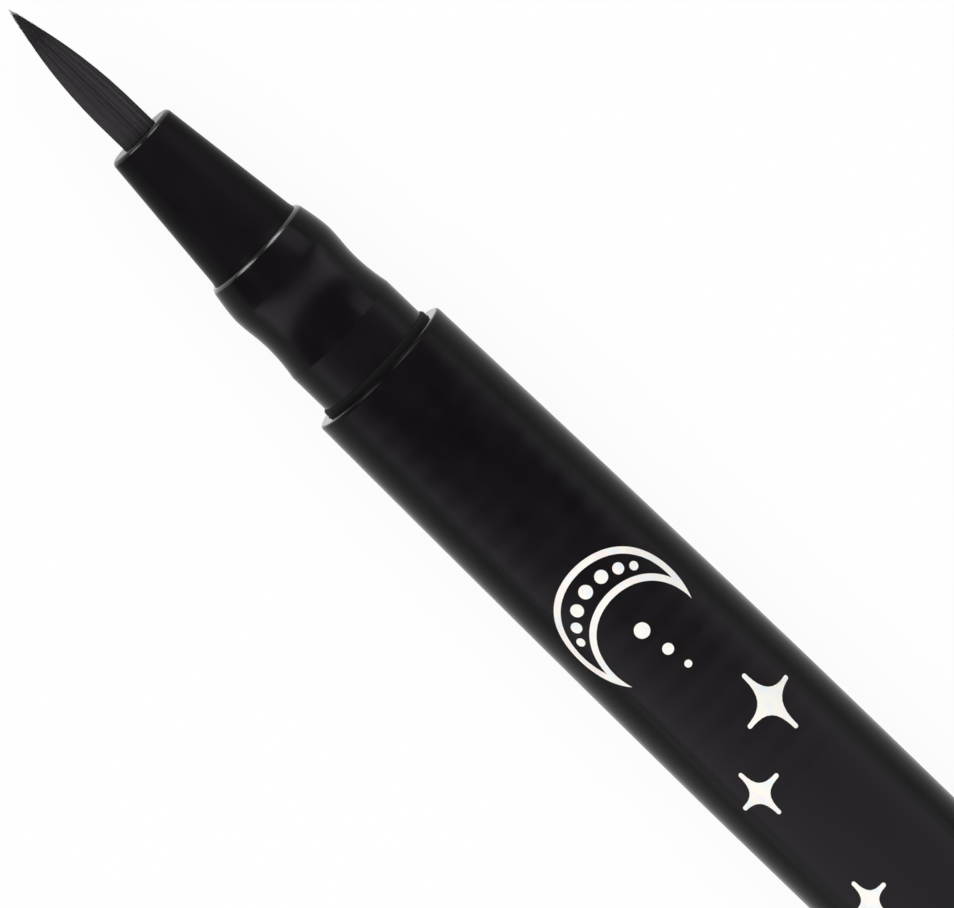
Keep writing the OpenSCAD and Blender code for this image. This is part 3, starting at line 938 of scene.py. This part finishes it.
# Panels that show in the pen's gloss: the setting of their brightness, the corner that they start
# from and its height over the floor, their size along the pen and across it, and their turn. A
# size below zero runs towards the brush or to the pen's right.
PANELS = (
    ("right_panel", (-2 * MM, 0.0, CEILING), (0.45, -0.3), math.radians(-1.2)),
    ("right_panel", (-8 * MM, -0.3, CEILING), (0.45, -1.7), math.radians(4.5)),
    ("left_panel", (-2 * MM, 0.0, CEILING), (0.45, 2.0), math.radians(-5)),
    ("rear_panel", (14 * MM, -2.0, CEILING + 5 * MM), (0.45, 4.0), 0.0),
    ("front_panel", (-80 * MM, 200 * MM, CEILING), (-0.5, 1.2), 0.0),
    ("wall_panel", (-12 * MM, -50 * MM, LOW), (0.5, -2.0), 0.0),
    ("wall_panel", (-8 * MM, 100 * MM, LOW), (0.5, 2.0), 0.0),
)
# Far walls on both sides of the pen, up to the ceiling: the middle of their length, their length,
# and their distance from the pen's axis
WALL_AT = 0.28
WALL_LENGTH = 0.56
WALL_ASIDE = 2.05
# Windows ahead of the brush: their distance from the collar's lip, width and height, and their
# angles above the pen and to each side of it
WINDOW_DISTANCE = 0.5
WINDOW_SIZE = (0.24, 0.34)
WINDOW_RISE = math.radians(32)
WINDOW_ASIDE = math.radians(38)
# The camera's view starts at the pen's distance divided by this, and ends at this distance
CAMERA_NEAR_PART = 20
CAMERA_FAR = 100.0


def make_floor(studio):
    """Wide white floor that keeps the pen's shadow and is a little lifted towards white."""
    reach = FLOOR_REACH
    corners = [(-reach, -reach, 0), (reach, -reach, 0), (reach, reach, 0), (-reach, reach, 0)]
    mesh = bpy.data.meshes.new("floor")
    mesh.from_pydata(corners, [], [(0, 1, 2, 3)])
    floor = bpy.data.objects.new("floor", mesh)
    bpy.context.scene.collection.objects.link(floor)
    material, shader = new_finish("white_floor", FLOOR_WHITE, roughness=0.6, specular=0.2)
    paper = grain(material, 1.5 * MM, detail=3.0)
    vary_roughness(material, shader, paper, low=0.55, high=0.65)
    path = add_node(material, "ShaderNodeLightPath")
    seen = path.outputs["Is Camera Ray"]
    for other in ("Is Glossy Ray", "Is Transmission Ray"):
        total = material.node_tree.nodes.new("ShaderNodeMath")
        total.operation = "MAXIMUM"
        link(material, seen, total.inputs[0])
        link(material, path.outputs[other], total.inputs[1])
        seen = total.outputs[0]
    share = material.node_tree.nodes.new("ShaderNodeMath")
    share.operation = "MULTIPLY"
    share.inputs[1].default_value = studio.lift
    link(material, seen, share.inputs[0])
    white = add_node(material, "ShaderNodeEmission", Strength=1.0)
    mix = add_node(material, "ShaderNodeMixShader")
    link(material, share.outputs[0], mix.inputs[0])
    link(material, shader.outputs["BSDF"], mix.inputs[1])
    link(material, white.outputs["Emission"], mix.inputs[2])
    surface = material.node_tree.nodes["Material Output"].inputs["Surface"]
    link(material, mix.outputs["Shader"], surface)
    mesh.materials.append(material)


def make_world(studio):
    """Dim studio overhead with a white band at the horizon."""
    world = bpy.data.worlds.new("studio")
    world.use_nodes = True
    nodes, links = world.node_tree.nodes, world.node_tree.links
    place = nodes.new("ShaderNodeTexCoord")
    parts = nodes.new("ShaderNodeSeparateXYZ")
    height = nodes.new("ShaderNodeMath")
    height.operation = "ABSOLUTE"
    band = nodes.new("ShaderNodeMapRange")
    band.interpolation_type = "SMOOTHSTEP"
    band.inputs["From Min"].default_value = 0.0
    band.inputs["From Max"].default_value = HORIZON
    band.inputs["To Min"].default_value = 1.0
    band.inputs["To Max"].default_value = studio.overhead
    links.new(place.outputs["Generated"], parts.inputs["Vector"])
    links.new(parts.outputs["Z"], height.inputs[0])
    links.new(height.outputs[0], band.inputs["Value"])
    links.new(band.outputs["Result"], nodes["Background"].inputs["Strength"])
    nodes["Background"].inputs["Color"].default_value = (1, 1, 1, 1)
    bpy.context.scene.world = world


def make_lamp(name, kind, place, aim, turn=0.0, **values):
    """A lamp that points from its place at an aim, and is turned about that line."""
    data = bpy.data.lights.new(name, kind)
    for key, value in values.items():
        setattr(data, key, value)
    lamp = bpy.data.objects.new(name, data)
    bpy.context.scene.collection.objects.link(lamp)
    lamp.location = place
    lamp.rotation_mode = "QUATERNION"
    pointed = (Vector(aim) - Vector(place)).to_track_quat("-Z", "Y")
    lamp.rotation_quaternion = pointed @ Quaternion((0, 0, 1), turn)
    return lamp


def make_panel(name, place, aim, wide, deep, brightness, turn=0.0):
    """A bright panel that shows in the pen's gloss and leaves its plain light alone."""
    panel = make_lamp(
        name,
        "AREA",
        place,
        aim,
        turn,
        energy=brightness * math.pi * wide * deep,
        shape="RECTANGLE",
        size=wide,
        size_y=deep,
    )
    panel.visible_camera = False
    panel.visible_diffuse = False


def make_flat_panels(studio):
    """Level panels over the pen and on the far floor, each turned about its starting corner."""
    for name, (x, y, height), (wide, deep), turn in PANELS:
        reach = Matrix.Rotation(turn, 2) @ Vector((wide / 2, deep / 2))
        middle = Vector((x + reach.x, y + reach.y, height))
        facing = Vector((middle.x, middle.y, AXIS_Z))
        make_panel(name, middle, facing, abs(wide), abs(deep), getattr(studio, name), turn)


def make_wall(studio, aside):
    """Far wall on one side of the pen, up to the ceiling."""
    place = Vector((WALL_AT, aside, CEILING / 2))
    facing = Vector((WALL_AT, 0.0, CEILING / 2))
    make_panel("wall_panel", place, facing, WALL_LENGTH, CEILING, studio.wall_panel)


def make_window(studio, aside):
    """Window ahead of the brush, at an angle to one side of it, that faces the collar's lip."""
    lip = Vector((COLLAR_LOW.x, 0, AXIS_Z))
    level = math.cos(WINDOW_RISE)
    heading = Vector((-level * math.cos(aside), level * math.sin(aside), math.sin(WINDOW_RISE)))
    make_panel("window", lip + WINDOW_DISTANCE * heading, lip, *WINDOW_SIZE, studio.window)


def make_lamps(studio):
    """Soft daylight, panels over and beside the pen, and two windows ahead of the brush."""
    daylight = make_lamp(
        "daylight", "SUN", DAYLIGHT_FROM, (0, 0, 0), energy=studio.daylight, angle=DAYLIGHT_ANGLE
    )
    daylight.visible_glossy = False
    make_flat_panels(studio)
    for side in (-1, 1):
        make_wall(studio, side * WALL_ASIDE)
    for side in (-1, 1):
        make_window(studio, side * WINDOW_ASIDE)


def make_camera(studio):
    """Camera above the pen, leaning towards the brush and turned as the picture is."""
    back = Vector((-math.sin(studio.tilt), 0, math.cos(studio.tilt)))
    along = Vector((math.cos(studio.tilt), 0, math.sin(studio.tilt)))
    aside = Vector((0, 1, 0))
    right = along * math.cos(studio.turn) + aside * math.sin(studio.turn)
    up = aside * math.cos(studio.turn) - along * math.sin(studio.turn)
    aim = Vector((BARREL_FRONT + studio.aim_at, studio.aim_side, AXIS_Z))
    data = bpy.data.cameras.new("camera")
    data.lens = studio.lens
    distance = studio.view_width * studio.lens / data.sensor_width
    data.clip_start = distance / CAMERA_NEAR_PART
    data.clip_end = CAMERA_FAR
    camera = bpy.data.objects.new("camera", data)
    bpy.context.scene.collection.objects.link(camera)
    rotation = Matrix((right, up, back)).transposed().to_4x4()
    camera.matrix_world = Matrix.Translation(aim + back * distance) @ rotation
    bpy.context.scene.camera = camera


class LINER_OT_stage(Operator):
    """Set up the floor, the lights, the surroundings and the camera"""

    bl_idname = "liner_pen.stage"
    bl_label = "Studio"
    bl_options = {"REGISTER", "UNDO"}

    def execute(self, context):
        studio = context.scene.liner_studio
        context.scene.view_settings.view_transform = "Standard"
        make_camera(studio)
        make_floor(studio)
        make_world(studio)
        make_lamps(studio)
        return {"FINISHED"}


class LINER_PT_panel(Panel):
    """Lists the pen's settings and the steps that make it"""

    bl_label = "Liner Pen"
    bl_idname = "LINER_PT_panel"
    bl_space_type = "VIEW_3D"
    bl_region_type = "UI"
    bl_category = "Liner Pen"

    def draw(self, context):
        for operator, settings in STEPS:
            box = self.layout.box()
            box.operator(operator.bl_idname)
            for name in getattr(context.scene, settings).bl_rna.properties.keys():
                if name not in ("rna_type", "name"):
                    box.prop(getattr(context.scene, settings), name)


SETTINGS = {
    "liner_studio": StudioSettings,
    "liner_finish": FinishSettings,
    "liner_brush": BrushSettings,
    "liner_print": PrintSettings,
    "liner_spring": SpringSettings,
}
STEPS = (
    (LINER_OT_stage, "liner_studio"),
    (LINER_OT_finishes, "liner_finish"),
    (LINER_OT_brush, "liner_brush"),
    (LINER_OT_moon_print, "liner_print"),
    (LINER_OT_sparkles, "liner_print"),
    (LINER_OT_spring, "liner_spring"),
)
CLASSES = (*SETTINGS.values(), *(operator for operator, _ in STEPS), LINER_PT_panel)


def register():
    """Registers the classes and hangs each group of settings on the scene."""
    for cls in CLASSES:
        bpy.utils.register_class(cls)
    for name, settings in SETTINGS.items():
        setattr(bpy.types.Scene, name, PointerProperty(type=settings))


def unregister():
    """Takes the settings off the scene and the classes out again."""
    for name in SETTINGS:
        delattr(bpy.types.Scene, name)
    for cls in reversed(CLASSES):
        bpy.utils.unregister_class(cls)


def main():
    """Makes the whole scene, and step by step."""
    register()
    bpy.ops.liner_pen.stage()
    bpy.ops.liner_pen.finishes()
    bpy.ops.liner_pen.brush()
    bpy.ops.liner_pen.moon_print()
    bpy.ops.liner_pen.sparkles()
    bpy.ops.liner_pen.spring()


if __name__ == "__main__":
    main()
